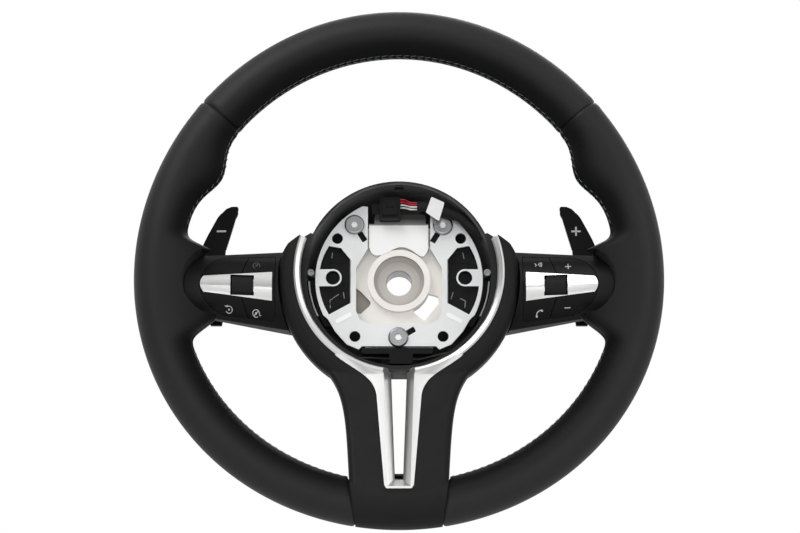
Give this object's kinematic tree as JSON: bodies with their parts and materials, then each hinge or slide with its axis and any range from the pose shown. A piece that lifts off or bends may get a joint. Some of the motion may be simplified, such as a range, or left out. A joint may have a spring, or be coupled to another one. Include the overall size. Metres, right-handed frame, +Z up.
{
  "type": "steering_wheel",
  "caption": "Black leather sport steering wheel with the airbag removed: thumb grips, silver trim, switch spokes, shift paddles and an open hub with horn plate",
  "frame": {"origin": "on the steering axis inside the column bore of the hub, 63 mm behind the rim plane", "axes": "+X to the right as the driver sees it, +Z up, +Y away from the driver along the column; the driver is at -Y"},
  "size_m": [0.3786, 0.0982, 0.3784],
  "materials": {
    "leather": "smooth full-grain leather, slight sheen",
    "foam": "moulded foam",
    "casting": "die-cast magnesium, pale chromate film",
    "plate_metal": "pressed and lightly blasted",
    "bolt_steel": "bright zinc",
    "steel": "plain steel",
    "satin_silver": "satin chrome on plastic",
    "matte_black": "fine-grained moulded plastic",
    "switch_black": "soft-sheen moulded plastic",
    "key_black": "soft-touch plastic with printed signs",
    "roller_black": "ribbed rubber",
    "paddle_black": "low-gloss moulded plastic",
    "bush_plastic": "natural acetal",
    "board": "glass-filled board",
    "connector_black": "moulded plastic",
    "loom_tape": "cloth tape",
    "red_sleeve": "pvc sleeve",
    "white_sleeve": "pvc sleeve",
    "black_sleeve": "pvc sleeve",
    "tag_white": "bare label stock"
  },
  "bodies": {
    "wheel": {"hub_casting": "casting", "rim_ring": "steel", "spline_bush": "steel", "rim_foam": "foam", "leather_top": "leather", "leather_left": "leather", "leather_right": "leather", "rear_cover": "matte_black", "rear_cover_screws": "steel", "spoke_cover": "matte_black", "spoke_trim": "satin_silver", "horn_bolts": "bolt_steel", "horn_springs": "steel", "left_switch_bezel": "switch_black", "right_switch_bezel": "switch_black", "left_switch_board": "board", "right_switch_board": "board", "left_switch_trim": "satin_silver", "right_switch_trim": "satin_silver", "rocker_pin": "steel", "roller_pin": "steel", "left_paddle_bracket": "matte_black", "right_paddle_bracket": "matte_black", "left_paddle_pin": "steel", "right_paddle_pin": "steel", "left_paddle_spring": "steel", "right_paddle_spring": "steel", "left_clip": "steel", "right_clip": "steel", "clip_screws": "steel", "left_hub_liner": "matte_black", "right_hub_liner": "matte_black", "loom_bracket": "matte_black", "loom_connector": "connector_black", "red_wires": "red_sleeve", "white_wires": "white_sleeve", "loom": "loom_tape", "loom_tag": "tag_white", "control_module": "connector_black", "left_lead": "black_sleeve", "right_lead": "black_sleeve"},
    "horn_plate": {"horn_plate": "plate_metal", "horn_bushes": "bush_plastic"},
    "left_paddle": {"left_paddle": "paddle_black"},
    "right_paddle": {"right_paddle": "paddle_black"},
    "speed_rocker": {"speed_rocker": "roller_black"},
    "scroll_roller": {"scroll_roller": "roller_black"},
    "limiter_key": {"limiter_key": "key_black"},
    "mode_key": {"mode_key": "key_black"},
    "cruise_key": {"cruise_key": "key_black"},
    "resume_key": {"resume_key": "key_black"},
    "voice_key": {"voice_key": "key_black"},
    "volume_up_key": {"volume_up_key": "key_black"},
    "phone_key": {"phone_key": "key_black"},
    "volume_down_key": {"volume_down_key": "key_black"}
  },
  "joints": [
    {"name": "horn_press", "type": "slide", "parent": "wheel", "child": "horn_plate", "axis": [0, 1, 0], "range_m": [0, 0.0015], "stiffness_N_per_m": 9000, "springref_m": -0.0005, "deforming": ["horn_springs"]},
    {"name": "left_paddle_pull", "type": "hinge", "parent": "wheel", "child": "left_paddle", "pos_m": [-0.099, -0.013, 0], "axis": [0, 0, 1], "range_deg": [0, 5], "stiffness_Nm_per_rad": 2, "springref_deg": -114.59, "deforming": ["left_paddle_spring"]},
    {"name": "right_paddle_pull", "type": "hinge", "parent": "wheel", "child": "right_paddle", "pos_m": [0.099, -0.013, 0], "axis": [0, 0, -1], "range_deg": [0, 5], "stiffness_Nm_per_rad": 2, "springref_deg": -114.59, "deforming": ["right_paddle_spring"]},
    {"name": "speed_rock", "type": "hinge", "parent": "wheel", "child": "speed_rocker", "pos_m": [-0.1134, -0.04848, -0.0115], "axis": [0.9859, 0.1676, 0], "range_deg": [-8, 8], "stiffness_Nm_per_rad": 0.4},
    {"name": "scroll_turn", "type": "hinge", "parent": "wheel", "child": "scroll_roller", "pos_m": [0.1134, -0.04848, -0.0115], "axis": [0.9859, -0.1676, 0], "continuous": true},
    {"name": "limiter_press", "type": "slide", "parent": "wheel", "child": "limiter_key", "axis": [0, 1, 0], "range_m": [0, 0.0008], "stiffness_N_per_m": 2500, "springref_m": -0.0002},
    {"name": "mode_press", "type": "slide", "parent": "wheel", "child": "mode_key", "axis": [0, 1, 0], "range_m": [0, 0.0008], "stiffness_N_per_m": 2500, "springref_m": -0.0002},
    {"name": "cruise_press", "type": "slide", "parent": "wheel", "child": "cruise_key", "axis": [0, 1, 0], "range_m": [0, 0.0008], "stiffness_N_per_m": 2500, "springref_m": -0.0002},
    {"name": "resume_press", "type": "slide", "parent": "wheel", "child": "resume_key", "axis": [0, 1, 0], "range_m": [0, 0.0008], "stiffness_N_per_m": 2500, "springref_m": -0.0002},
    {"name": "voice_press", "type": "slide", "parent": "wheel", "child": "voice_key", "axis": [0, 1, 0], "range_m": [0, 0.0008], "stiffness_N_per_m": 2500, "springref_m": -0.0002},
    {"name": "volume_up_press", "type": "slide", "parent": "wheel", "child": "volume_up_key", "axis": [0, 1, 0], "range_m": [0, 0.0008], "stiffness_N_per_m": 2500, "springref_m": -0.0002},
    {"name": "phone_press", "type": "slide", "parent": "wheel", "child": "phone_key", "axis": [0, 1, 0], "range_m": [0, 0.0008], "stiffness_N_per_m": 2500, "springref_m": -0.0002},
    {"name": "volume_down_press", "type": "slide", "parent": "wheel", "child": "volume_down_key", "axis": [0, 1, 0], "range_m": [0, 0.0008], "stiffness_N_per_m": 2500, "springref_m": -0.0002}
  ]
}
